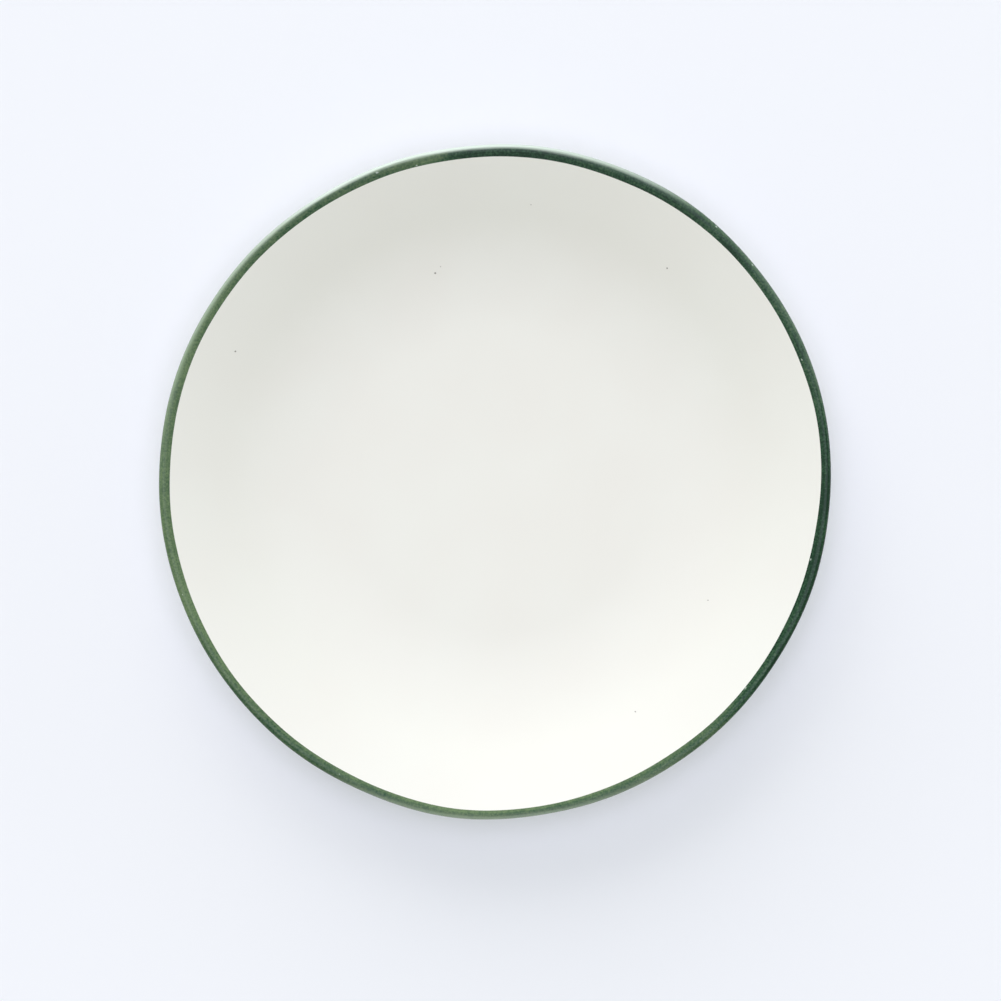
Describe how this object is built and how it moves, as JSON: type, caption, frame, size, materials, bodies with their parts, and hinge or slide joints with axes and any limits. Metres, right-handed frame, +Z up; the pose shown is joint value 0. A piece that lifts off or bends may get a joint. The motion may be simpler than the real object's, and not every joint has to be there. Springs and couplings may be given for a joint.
{
  "type": "dinner plate",
  "caption": "Round coupe dinner plate of glazed china: flat well, curved wall, rounded lip with a narrow green band, and a turned foot ring.",
  "frame": {"origin": "centre of the plate, at the level of the foot ring's bearing face", "axes": "+Z up through the middle of the plate, out of the eating face; X and Y lie in the table's plane and are free, because the plate is a full turn"},
  "size_m": [0.27, 0.27, 0.027],
  "materials": {
    "bare_clay": "fired, wiped bare on the foot ring, matt",
    "cream_glaze": "smooth satin gloss",
    "green_glaze": "brushed on by hand, mottled, gloss"
  },
  "bodies": {
    "root": {"clay_body": "bare_clay", "face_glaze": "cream_glaze", "rim_band": "green_glaze", "back_glaze": "cream_glaze", "foot_well_glaze": "cream_glaze"}
  },
  "joints": []
}
